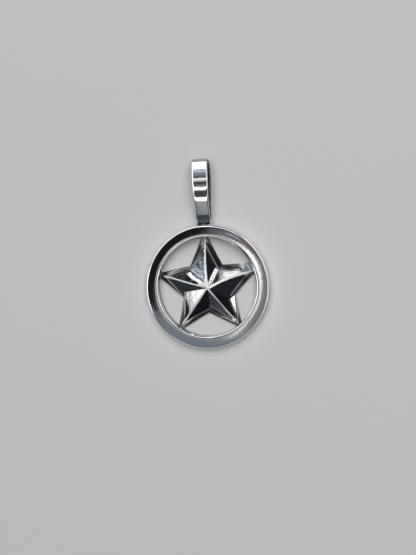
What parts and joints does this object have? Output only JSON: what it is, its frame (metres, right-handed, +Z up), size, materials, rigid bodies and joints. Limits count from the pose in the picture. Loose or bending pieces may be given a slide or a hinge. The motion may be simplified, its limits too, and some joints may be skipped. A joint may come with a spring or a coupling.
{
  "type": "star pendant",
  "caption": "Pendant in polished silver: a faceted five-pointed star soldered inside a flat round hoop, with a folded strap bail for a chain.",
  "frame": {"origin": "middle of the pendant's box, on the surface that it lies on", "axes": "+Z up, with the star's face up; +Y from the hoop to the bail; +X to the right of the star as it is looked at"},
  "size_m": [0.02, 0.0306, 0.0036],
  "materials": {
    "hoop_silver": "hand-polished sterling silver, fine scratches, darker in the corners",
    "bail_silver": "hand-polished sterling silver strap with softened edges"
  },
  "bodies": {
    "root": {"star_hoop": "hoop_silver", "bail": "bail_silver"}
  },
  "joints": []
}
